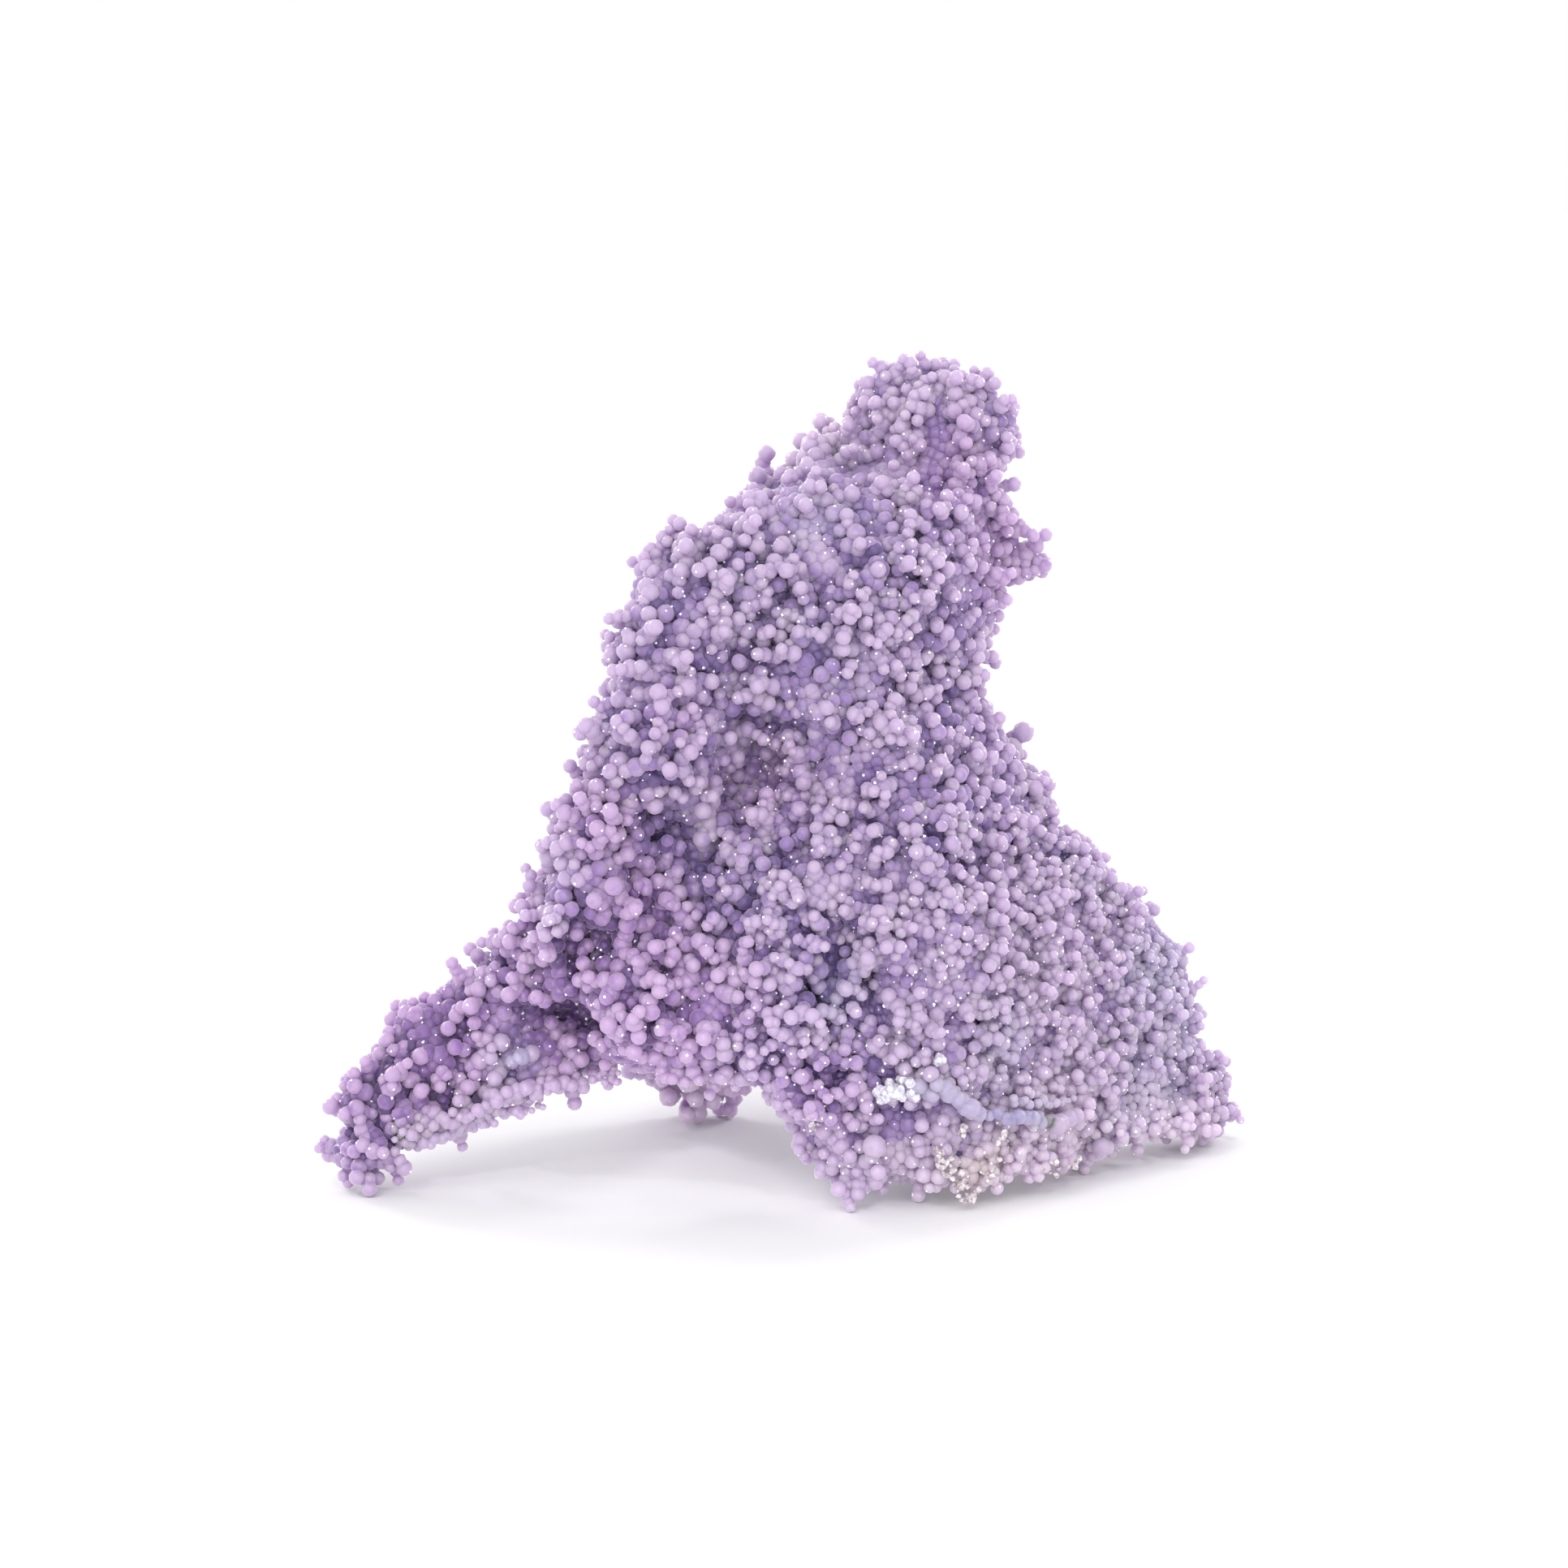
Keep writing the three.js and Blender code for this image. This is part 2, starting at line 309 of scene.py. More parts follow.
# small outgrowths of the groundmass: middles and radii in mm
twigs = {
    "spur": [(30.5, 5, 89.6, 2.4), (32.8, 5, 89.5, 2.0), (35, 5, 89.8, 1.6), (37, 5, 89.6, 1.2)],
    "flank": [
        (50, 5, 36.5, 2.6), (52.5, 6, 33.5, 2.6), (55.2, 7, 30, 2.6), (57.4, 8, 26.5, 2.4),
        (58.6, 8.5, 22.5, 2.2)],
    "crown": [
        (14, 7, 115.6, 2.2), (18.5, 7, 116, 2.4), (23, 6, 114.8, 2.4), (27.6, 5, 113.2, 2.4),
        (30, 4.5, 110, 2.4)],
    "crease": [
        (3.6, -25, 40.5, 3.8), (4.8, -24, 37, 4.2), (5.8, -23.5, 33.6, 4.4), (6.8, -23.8, 30.4, 4.4),
        (8, -24.6, 27, 4)],
}
# where the crust has pits and where its chains stand up: place and reach in mm, and how much
relief = {
    "pits": [
        (-18.6, -22.8, 54, 3.2, 1.3), (-19.4, -24.4, 57.3, 2.6, 0.8), (-19.5, -30, 62.4, 2.6, 0.8),
        (-15.4, -22, 50, 2.6, 0.7), (-12.5, -24.5, 77.7, 3, 0.9), (-0.8, -21.5, 69.6, 3, 1.0),
        (-5.1, -18, 58.8, 2.4, 0.6), (1.4, -22.5, 59.7, 2.4, 0.6), (5.6, -27, 38, 2.0, 0.7),
        (4.6, -26.5, 33.4, 2.2, 0.7), (6.8, -26.5, 29.8, 1.8, 0.5), (-28.8, -24, 37.4, 2.8, 1.1),
        (-32.2, -27.3, 44.1, 3, 0.7), (-9, -22.4, 65.6, 2.4, 0.7), (-31.6, -14.6, 26, 2.8, 1),
        (-38.2, -16.4, 25, 2.6, 0.9), (-34.6, -16, 24.2, 2.2, 0.6), (-11.4, -28, 43.6, 2.8, 1.2),
        (-11, -27.2, 47.6, 2.6, 1.1), (-31.4, -26, 31.4, 2.4, 0.8), (22.9, -27, 53, 2.6, 1.0),
        (22.8, -3.6, 107.8, 2.6, 0.5), (22, -1.5, 111, 2.6, 0.4), (19.4, -1, 109.5, 2.2, 0.4),
        (24, -13.1, 86.1, 2.8, 0.7), (21.9, -15.4, 81.1, 2.4, 0.5), (9.6, -12.8, 98.4, 2.6, 0.6),
        (24.3, -17.9, 64.3, 3, 0.7), (15, -17.4, 96.7, 2.6, 0.6), (-3.8, -18.2, 92.5, 2.4, 0.6),
        (-50.6, -19.2, 22.4, 2.6, 0.6), (-59.5, -21.8, 14, 2.4, 0.6), (6.2, -31, 22.6, 2.4, 0.7),
        (8.8, -30.6, 25.2, 2.6, 1.0), (-3.8, -20.2, 85.8, 2.6, 0.6), (-4.4, -21.1, 78.4, 2.4, 0.6),
        (1.8, -32.6, 16, 2.2, 0.5), (16, -30.8, 23.6, 2, 1), (18.8, -30.8, 43.8, 2.2, 0.4),
        (26.9, -28, 36, 2.2, 0.4), (50, -5.4, 32, 2.4, 0.5), (16.1, -30.8, 10, 2.4, 1.4),
        (8.6, -31.4, 9.6, 2, 0.8), (7.8, -27.2, 55.9, 2.6, 0.6), (2.5, -24.5, 77.7, 2.8, 0.7),
        (34, -19, 32, 2.2, 0.4)],
    "crests": [
        (-25.4, -30, 31.9, 3.4, 1), (-12.3, -24.8, 56.6, 3, 1), (-17.2, -30, 76, 3.6, 1),
        (-16.1, -23.2, 44.4, 3, 0.8), (-25.7, -29, 54.3, 3, 0.8), (1.2, -32, 45.8, 3.4, 0.9),
        (6.2, -25, 72.7, 3, 0.5), (-13.6, -27, 65.7, 3.2, 1), (-19.6, -32, 25.5, 3.4, 0.9),
        (-11.3, -20.4, 91.7, 3.6, 0.8), (-14.7, -26.6, 82.7, 3.2, 0.8), (-10.2, -21.8, 62, 2.6, 0.8),
        (3.7, -26, 59.2, 2.8, 0.8), (23.7, -13, 92.5, 3.4, 0.1), (-2.1, -34, 30.4, 3.4, 0.9),
        (18, -8.4, 102.7, 3.2, 0.7), (-32.3, -27, 41.7, 3, 0.7), (33.1, -21.6, 39.3, 3.2, 0.6),
        (20, -30, 29.4, 3.2, 0.7)],
    "sink": 2.6,     # mm in a pit
    "lift": 0.7,     # mm on a crest
    "bare": 0.4,     # how much less grows in a pit
    "lush": 0.16,    # how much more grows on a crest
    # painted shade on the beads in pits and painted light on those on crests
    "shade": 0.5,    # how much darker a pit's beads are
    "shine": 0.1,    # how much lighter a crest's beads are
}


def mergedCopy(name, source, seam):
    mesh = source.data.copy()
    shape = bmesh.new()
    shape.from_mesh(mesh)
    bmesh.ops.remove_doubles(shape, verts=shape.verts, dist=seam)
    shape.to_mesh(mesh)
    shape.free()
    mesh.materials.clear()
    return newObject(name, mesh)


def innerSurface(source, values):  # the groundmass, a few mm inside the solid
    skin = mergedCopy("groundmass", source, values["seam"])
    mesh = skin.data
    count = len(mesh.vertices)
    place, normal = readField(mesh.vertices, "co", 3), readField(mesh.vertices, "normal", 3)
    walls = BVHTree.FromObject(skin, bpy.context.evaluated_depsgraph_get())
    thickest = values["thickest"]
    depth = np.empty(count)
    for i in range(count):
        way = Vector(-normal[i])
        hit = walls.ray_cast(Vector(place[i]) + way * values["start"] * mm, way, thickest)
        depth[i] = min(values["depth"] * mm, (hit[3] or thickest) * values["share"])
    one, other = readField(mesh.edges, "vertices", 2, np.int32).T
    ties = np.bincount(one, minlength=count) + np.bincount(other, minlength=count)
    for turn in range(values["evening"]):
        near = np.bincount(one, depth[other], count) + np.bincount(other, depth[one], count)
        depth = np.minimum(depth, (depth + near / ties) / 2)
    mesh.vertices.foreach_set("co", (place - normal * depth[:, None]).ravel())
    shape = bmesh.new()
    shape.from_mesh(mesh)
    for path in twigs.values():
        for x, y, z, radius in path:
            at = Matrix.Translation((x * mm, y * mm, z * mm))
            bmesh.ops.create_icosphere(shape, subdivisions=ballCuts, radius=radius * mm, matrix=at)
    shape.to_mesh(mesh)
    shape.free()
    remesh = skin.modifiers.new("remesh", "REMESH")
    remesh.mode, remesh.voxel_size = "VOXEL", values["voxel"] * mm
    skin.data = asPlainMesh(skin)
    return skin


# smooth ridges where beads have grown into one: points in mm with a radius each, and the colour, whose
# open is the painted light on it
ridges = {
    "rimUpper": {
        "path": [(-25.6, -19, 17.6, 1.0), (-28, -16.6, 16.2, 1.4), (-31, -16, 15.9, 1.6),
                 (-35.4, -18, 15.6, 1.8), (-40.2, -18.2, 14.6, 1.9), (-45, -19.2, 13.2, 1.9),
                 (-49.6, -19.8, 11.8, 1.8), (-54, -21, 10.6, 1.6), (-58, -22, 9.4, 1.2)],
        "blue": -0.3, "tone": 0.7, "open": 0.8, "lumpy": True},
    "rimLower": {
        "path": [(-37, -16.6, 13.2, 1.0), (-41, -17, 12, 1.4), (-45.4, -18, 10.6, 1.6),
                 (-50, -18.8, 9.2, 1.8), (-54.5, -20, 8.2, 1.7), (-58.4, -21, 7.2, 1.3)],
        "blue": 0.2, "tone": 0.4, "open": 0.55, "lumpy": True},
    "barUpper": {
        "path": [(16.6, -30.4, 18.9, 1.0), (18.4, -30.8, 18.6, 1.3), (20, -31, 18, 1.2)],
        "blue": 0.6, "tone": 0.5, "open": 0.55},
    "barLower": {
        "path": [(20.6, -31.4, 19.0, 1.1), (22.6, -31.2, 17.6, 1.4), (24.8, -30.2, 15.8, 1.4),
                 (26.8, -28.8, 14.2, 1.3)],
        "blue": 0.6, "tone": 0.6, "open": 0.6},
    "shelfLeft": {
        "path": [(28.4, -27.8, 14.2, 0.9), (31, -27, 13.4, 1.1), (34.4, -25.2, 12.6, 1.2),
                 (37.4, -22.8, 11.6, 1.0)],
        "blue": 0.9, "tone": 0.4, "open": 0.45},
    "shelfTop": {
        "path": [(31.6, -26.4, 15.9, 0.7), (34.6, -24.8, 15, 0.8), (38, -22, 14.2, 0.7),
                 (41, -19, 13.8, 0.6)],
        "blue": 0.5, "tone": 0.8, "open": 0.8},
    "shelfRight": {
        "path": [(36.6, -23.6, 11.4, 1.1), (39, -21.6, 11.1, 1.4), (41, -19.7, 11.2, 1.2)],
        "blue": 0.1, "tone": 0.8, "open": 0.7},
    # painted highlight: two smooth beads coloured near white
    "paintedHighlightLeft": {
        "path": [(11.2, -31.2, 9.8, 1.7), (12, -31.2, 9.6, 1.6)],
        "blue": 0.1, "tone": 1.2, "open": 1.2},
    "paintedHighlightRight": {
        "path": [(45.6, -13.2, 5.0, 1.5), (46.4, -12.4, 4.9, 1.4)],
        "blue": 0.2, "tone": 1.2, "open": 1.2},
}
ridgeGrain = {  # the spheres along a ridge: step and wobble in mm, sizes as shares of its radius
    "smooth": {"step": 0.8, "wobble": 0.42, "small": 0.8, "large": 1.12},
    "lumpy": {"step": 0.34, "wobble": 1.0, "small": 0.36, "large": 0.66},
    "clearing": 0.7,   # mm round a ridge where no beads grow
    "seed": 900, "next": 7,
    "patches": 700.0, "patchy": 1.4,  # scale and strength of the patches in its tone
}


def zoneAmounts(place, spots):
    amount = np.zeros(len(place))
    for x, y, z, reach, most in spots:
        gap = np.linalg.norm(place - np.array((x, y, z)) * mm, axis=1) / (reach * mm)
        amount = np.maximum(amount, most * np.exp(-gap ** 2))
    return amount


def pressRelief(carrier):
    mesh = carrier.data
    place, normal = readField(mesh.vertices, "co", 3), readField(mesh.vertices, "normal", 3)
    move = (zoneAmounts(place, relief["crests"]) * relief["lift"]
            - zoneAmounts(place, relief["pits"]) * relief["sink"])
    mesh.vertices.foreach_set("co", (place + normal * move[:, None] * mm).ravel())
    mesh.update()


def markRegions(carrier):
    names = list(regions)
    middles = np.array([m for name in names for m in regions[name]["middles"]]) * mm
    owner = np.array([i for i, name in enumerate(names) for m in regions[name]["middles"]])
    mesh = carrier.data
    centres = readField(mesh.polygons, "center", 3)
    owner = owner[np.linalg.norm(centres[:, None, :] - middles[None], axis=2).argmin(1)]
    for values in ridges.values():
        path = np.array(values["path"])
        for first, last in zip(path[:-1], path[1:]):
            for share in (0, 0.25, 0.5, 0.75, 1):
                x, y, z, radius = first + (last - first) * share
                gap = np.linalg.norm(centres - np.array((x, y, z)) * mm, axis=1)
                owner[gap < (radius + ridgeGrain["clearing"]) * mm] = -1
    addMark(mesh, "region", "INT", "FACE", owner)
    lush = (zoneAmounts(centres, relief["crests"]) * relief["lush"]
            - zoneAmounts(centres, relief["pits"]) * relief["bare"])
    addMark(mesh, "lush", "FLOAT", "FACE", lush)


def newTree(name, inputs):
    tree = bpy.data.node_groups.new(name, "GeometryNodeTree")
    tree.interface.new_socket("Geometry", in_out="OUTPUT", socket_type="NodeSocketGeometry")
    for kind, labels in {"Geometry": ["Geometry"], **inputs, "Material": ["Stone"]}.items():
        for label in labels:
            tree.interface.new_socket(label, in_out="INPUT", socket_type="NodeSocket" + kind)
    board = Board(tree)
    entry = tree.nodes.new("NodeGroupInput")
    given = {one.name: Wire(board, one) for one in entry.outputs if one.name}
    return tree, board, given


def finishTree(board, geometry, stone):
    whole = board.add("GeometryNodeRealizeInstances", None, {"Geometry": geometry})
    whole = board.add("GeometryNodeSetMaterial", None, {"Geometry": whole, "Material": stone})
    leave = board.tree.nodes.new("NodeGroupOutput")
    board.tree.links.new(whole.socket, leave.inputs[0])


def joined(board, balls):
    whole = board.add("GeometryNodeMeshBoolean", {"operation": "UNION", "solver": "MANIFOLD"},
                      {"Mesh 2": balls})
    return board.add("GeometryNodeTriangulate", None, {"Mesh": whole})


def growingTree(shape):
    tree, board, given = newTree("beadGrowth", {
        "Int": ["Region", "Seed"], "Bool": ["Points Only"],
        "Float": ["Radius", "Spacing", "Rise", "Small", "Large", "Step", "Wander", "Patch Scale"]})
    add, seed, draws = board.add, given["Seed"], shape["draws"]

    def sized(share, number):  # most beads are small, a few are large
        spread = board.dice(0, 1, seed + number) ** shape["rarer"] * (given["Large"] - given["Small"])
        return given["Radius"] * share * (given["Small"] + spread)

    def marked(geometry, name, value, kind="FLOAT"):
        return board.stored(geometry, kind, "POINT", name, value)

    here = add("FunctionNodeCompare", {"data_type": "INT", "operation": "EQUAL"},
               {"A_INT": board.named("INT", "region"), "B_INT": given["Region"]})
    scatter = tree.nodes.new("GeometryNodeDistributePointsOnFaces")
    scatter.distribute_method = "POISSON"
    tree.links.new(given["Geometry"].socket, scatter.inputs["Mesh"])
    tree.links.new(here.socket, scatter.inputs["Selection"])
    tree.links.new((given["Spacing"] * given["Radius"]).socket, scatter.inputs["Distance Min"])
    scatter.inputs["Density Max"].default_value = shape["density"]
    tree.links.new(seed.socket, scatter.inputs["Seed"])
    bottom = Wire(board, scatter.outputs["Points"])
    bottom = marked(bottom, "outward", Wire(board, scatter.outputs["Normal"]), "FLOAT_VECTOR")
    bottom = marked(bottom, "size", sized(shape["bottom"], draws["size"]))
    bottom = marked(bottom, "level", 0.0)
    outward, size = board.named("FLOAT_VECTOR", "outward"), board.named("FLOAT", "size")
    lifted = board.scaled(outward, given["Rise"])
    bottom = add("GeometryNodeSetPosition", None, {"Geometry": bottom, "Offset": lifted})
    place = add("GeometryNodeInputPosition")
    soft = board.clouds(place, given["Patch Scale"], 1.0)
    winding = board.clouds(board.vector("ADD", place, shape["shift"]), given["Patch Scale"], 0.5)
    fold = add("ShaderNodeMath", {"operation": "ABSOLUTE"}, {0: winding - 0.5})
    patches = soft * shape["clouds"] + (shape["crest"] - fold * shape["steep"]) * shape["winding"]

    layers, last = [bottom], bottom
    for level, bar in shape["bars"]:
        ease = patches + board.named("FLOAT", "lush")
        ease = ease + board.dice(-shape["luck"], shape["luck"], seed + (draws["luck"] + level))
        split = tree.nodes.new("GeometryNodeSeparateGeometry")
        tree.links.new(last.socket, split.inputs["Geometry"])
        tree.links.new((ease > bar).socket, split.inputs["Selection"])
        grown = Wire(board, split.outputs["Selection"])
        stray = board.dice((-1, -1, -1), (1, 1, 1), seed + (draws["stray"] + level), "FLOAT_VECTOR")
        stray = board.scaled(stray, given["Wander"])
        way = board.unit(board.vector("ADD", board.scaled(outward, shape["straight"]), stray))
        grown = marked(grown, "heading", way, "FLOAT_VECTOR")
        heading = board.named("FLOAT_VECTOR", "heading")
        offset = board.scaled(heading, size * given["Step"])
        grown = add("GeometryNodeSetPosition", None, {"Geometry": grown, "Offset": offset})
        onward = board.vector("ADD", outward, board.scaled(heading, shape["straight"]))
        grown = marked(grown, "outward", board.unit(onward), "FLOAT_VECTOR")
        share = shape["chain"] - shape["taper"] * level
        grown = marked(grown, "size", sized(share, draws["chain"] + level))
        grown = marked(grown, "level", float(level))
        layers.append(grown)
        last = grown
    join = tree.nodes.new("GeometryNodeJoinGeometry")
    for layer in reversed(layers):
        tree.links.new(layer.socket, join.inputs["Geometry"])
    points = Wire(board, join.outputs[0])
    parts = tree.nodes.new("ShaderNodeSeparateXYZ")
    tree.links.new(place.socket, parts.inputs[0])
    across, along, up = (Wire(board, parts.outputs[axis]) for axis in "XYZ")
    height = add("ShaderNodeMath", {"operation": "MAXIMUM"}, {0: up, 1: size})
    onFloor = add("ShaderNodeCombineXYZ", None, {"X": across, "Y": along, "Z": height})
    points = add("GeometryNodeSetPosition", None, {"Geometry": points, "Position": onFloor})
    ball = add("GeometryNodeMeshIcoSphere", None, {"Radius": 1.0, "Subdivisions": ballCuts})
    turn = board.dice((0, 0, 0), (fullTurn,) * 3, seed + draws["turn"], "FLOAT_VECTOR")
    beads = add("GeometryNodeInstanceOnPoints", None,
                {"Points": points, "Instance": ball, "Rotation": turn, "Scale": size})
    centres = add("GeometryNodePointsToVertices", None, {"Points": points})
    either = add("GeometryNodeSwitch", {"input_type": "GEOMETRY"},
                 {"Switch": given["Points Only"], "False": joined(board, beads), "True": centres})
    finishTree(board, either, given["Stone"])
    return tree


def grownMesh(name, carrier, tree, values, keep=None):
    modifier = carrier.modifiers.new("growth", "NODES")
    modifier.node_group = tree
    for item in tree.interface.items_tree:
        if item.in_out == "INPUT" and item.name in values:
            modifier[item.identifier] = values[item.name]
    if keep:
        thin(carrier, keep)
    carrier.data.update()
    mesh = asPlainMesh(carrier)
    mesh.name = name
    return mesh


# finishes
stoneLook = {
    # deep, violet and pale, and their plum and blue kin: from beads in painted shade and low on their
    # chains to open beads far out in painted light; bright: painted light on the most open beads
    "deep": rgb(63, 38, 106), "violet": rgb(138, 113, 167), "pale": rgb(174, 157, 185),
    "bright": rgb(202, 185, 207), "blue": rgb(123, 116, 161), "paleBlue": rgb(162, 157, 184),
    "plum": rgb(134, 98, 160), "palePlum": rgb(172, 145, 182), "deepPlum": rgb(70, 32, 100),
    "cream": rgb(200, 186, 186),
    # how light a bead's colour is: painted shade where it is hemmed in, painted light where it is open
    # to the light near by and far off, and paler the further out on its chain
    "lightness": {"open": 0.62, "wide": 0.5, "level": 0.42, "curve": 0.6, "less": 0.11},
    # painted light: paler round a bead's waist, as if light went through it
    "paintedRimLight": {"side": 0.3, "cloud": 0.3, "less": 0.22},
    "tone": {"violet": (0.32, 0.07), "pale": (0.5, 0.035)},  # weight of a bead's own tone, and less
    "fades": {  # from where to where a colour comes in
        "plummy": (0.05, 0.7), "bluish": (0.15, 0.75), "cream": (0.3, 0.9), "bright": (0.95, 1.9),
        "violet": (0.14, 0.58), "pale": (0.5, 1.05)},
    "driftScale": 60.0, "cloudScale": 900.0, "plumDrift": 0.6, "blueDrift": 0.9, "creamTone": 0.3,
    "surface": {
        "Roughness": 0.36, "IOR": 1.5,
        "Subsurface Weight": 0.85, "Subsurface Radius": (1.0, 0.75, 1.1), "Subsurface Scale": 4.0 * mm,
        # the pale rim of light in a frosted bead
        "Sheen Weight": 0.42, "Sheen Roughness": 0.6, "Sheen Tint": (1.0, 0.86, 1.0, 1),
        "Coat Weight": 0.3, "Coat Roughness": 0.06},
}
glossy = {"Coat Weight": 0.5, "Coat Roughness": 0.05}
grainyLooks = {  # two colours, the grain's scale and where it goes from one to the other
    "violetGroundmass": {
        "dark": rgb(52, 44, 92), "pale": rgb(96, 80, 140), "grain": 400.0, "edges": (0.0, 1.0),
        "surface": {"Roughness": 0.5}},
    "clearQuartz": {
        "dark": rgb(196, 190, 210), "pale": rgb(250, 249, 253), "grain": 900.0, "edges": (0.35, 0.65),
        # a faint painted glow
        "surface": {"Roughness": 0.12, "Transmission Weight": 0.12, "Emission Color": (1, 1, 1, 1),
                    "Emission Strength": 0.06, **glossy}},
    # painted glints: white grains that glow though they are no lamp
    "paintedGlint": {
        "dark": (0.95, 0.94, 0.98, 1), "pale": (0.95, 0.95, 0.98, 1), "grain": 700.0,
        "edges": (0.35, 0.65),
        "surface": {"Roughness": 0.15, "Emission Color": (1, 1, 1, 1), "Emission Strength": 0.35,
                    **glossy}},
    "matrixStone": {
        "dark": rgb(150, 132, 138), "pale": rgb(246, 238, 242), "grain": 1300.0, "edges": (0.35, 0.65),
        "surface": {"Roughness": 0.6, **glossy}},
}


def beadMaterial(look):
    material, board, shader = newMaterial("lavenderBeads", look["surface"])
    add = board.add

    def attribute(name):
        return add("ShaderNodeAttribute", {"attribute_name": name}, None, "Fac")

    def fade(value, name):
        low, high = look["fades"][name]
        return add("ShaderNodeMapRange", {"interpolation_type": "SMOOTHSTEP"},
                   {"Value": value, "From Min": low, "From Max": high})

    where = add("ShaderNodeTexCoord", None, None, "Object")
    tone, bluish, airy = attribute("tone"), attribute("blue"), attribute("open")
    share = look["lightness"]
    # painted light and shade: beads open to the light near by and far off are paler, hemmed-in ones
    # darker
    light = (airy * share["open"] + attribute("wide") * share["wide"]
             + attribute("level") ** share["curve"] * share["level"] - share["less"])
    drift = board.clouds(where, look["driftScale"], 2.0) - 0.5
    cloud = board.clouds(where, look["cloudScale"], 3.0)
    plummy = fade(drift * look["plumDrift"] - bluish, "plummy")
    bluish = fade(bluish + drift * look["blueDrift"], "bluish")
    deep = board.mix(plummy, look["deep"], look["deepPlum"])
    middle = board.mix(bluish, board.mix(plummy, look["violet"], look["plum"]), look["blue"])
    pale = board.mix(bluish, board.mix(plummy, look["pale"], look["palePlum"]), look["paleBlue"])
    pale = board.mix(fade(attribute("cream") + tone * look["creamTone"], "cream"), pale, look["cream"])
    # painted light: the most open beads turn bright
    pale = board.mix(fade(airy, "bright"), pale, look["bright"])
    weight, less = look["tone"]["violet"]
    colour = board.mix(fade(light + tone * weight - less, "violet"), deep, middle)
    share = look["paintedRimLight"]
    # painted light round each bead's waist, in cloudy patches
    paintedRimLight = attribute("side") * share["side"] + cloud * share["cloud"] - share["less"]
    weight, less = look["tone"]["pale"]
    colour = board.mix(fade(light + tone * weight - less + paintedRimLight, "pale"), colour, pale)
    material.node_tree.links.new(colour.socket, shader.inputs["Base Color"])
    return material


def grainyMaterial(name):
    look = grainyLooks[name]
    material, board, shader = newMaterial(name, look["surface"])
    where = board.add("ShaderNodeTexCoord", None, None, "Object")
    grain = board.clouds(where, look["grain"], 4.0)
    low, high = look["edges"]
    share = board.add("ShaderNodeMapRange", None, {"Value": grain, "From Min": low, "From Max": high})
    colour = board.mix(share, look["dark"], look["pale"])
    material.node_tree.links.new(colour.socket, shader.inputs["Base Color"])
    return material


# growing the beads
carrier = innerSurface(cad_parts["chalcedony"], crust)
pressRelief(carrier)
markRegions(carrier)
print("groundmass", len(carrier.data.polygons), "faces")
tree = growingTree(growth)
beadStone = beadMaterial(stoneLook)


def growthValues(index, name, pointsOnly):
    return {"Region": index, "Radius": regions[name]["radius"] * mm, "Rise": growth["rise"] * mm,
            "Seed": growth["seed"] + growth["next"] * index, "Points Only": pointsOnly,
            "Patch Scale": 1 / (growth["patch"] * mm), "Stone": beadStone,
            **{one: growth[one.lower()] for one in ("Spacing", "Small", "Large", "Step", "Wander")}}


def readBeads(mesh):
    marks = mesh.attributes
    return (readField(mesh.vertices, "co", 3), readField(marks["size"].data, "value"),
            readField(marks["level"].data, "value"), readField(marks["outward"].data, "vector", 3))


# rays that measure how hemmed in each bead is, for the painted shade in its colour
lightSearch = {
    "rays": 32,     # from each bead, in all directions
    "near": 9,      # mm, a gap as wide as this counts as open
    "far": 32,      # mm, and one as wide as this as wide open
    "body": 0.85,   # of a bead's radius, what it hides
    "start": 1.15,  # of the radius, where its rays start
}
toning = {  # a bead's own tone: by chance, and in patches
    "single": 0.35, "middle": 0.325, "patchy": 0.9, "most": 0.65, "scale": 220}
nearBeads = 5  # that a face may belong to


def openness(place, size, values):
    near, far = values["near"] * mm, values["far"] * mm
    rays, start = values["rays"], values["start"]
    corner = np.array([(1, 0, 0), (-1, 0, 0), (0, 1, 0), (0, -1, 0), (0, 0, 1), (0, 0, -1)], float)
    sides = [(0, 2, 4), (2, 1, 4), (1, 3, 4), (3, 0, 4), (2, 0, 5), (1, 2, 5), (3, 1, 5), (0, 3, 5)]
    points = (place[:, None, :] + corner[None] * size[:, None, None] * values["body"]).reshape(-1, 3)
    faces = [(a + 6 * i, b + 6 * i, c + 6 * i) for i in range(len(place)) for a, b, c in sides]
    hits = BVHTree.FromPolygons(points.tolist(), faces)
    golden = math.pi * (3 - math.sqrt(5))
    ways = []
    for i in range(rays):
        z = 1 - (2 * i + 1) / rays
        flat = math.sqrt(1 - z * z)
        ways.append(Vector((flat * math.cos(golden * i), flat * math.sin(golden * i), z)))
    close, wide = np.empty(len(place)), np.empty(len(place))
    for i, (centre, radius) in enumerate(zip(place.tolist(), size.tolist())):
        centre = Vector(centre)
        gaps = [hits.ray_cast(centre + way * radius * start, way, far)[3] or far for way in ways]
        close[i] = sum(1 for gap in gaps if gap > near) / rays
        wide[i] = sum(1 for gap in gaps if gap >= far) / rays
    return close, wide
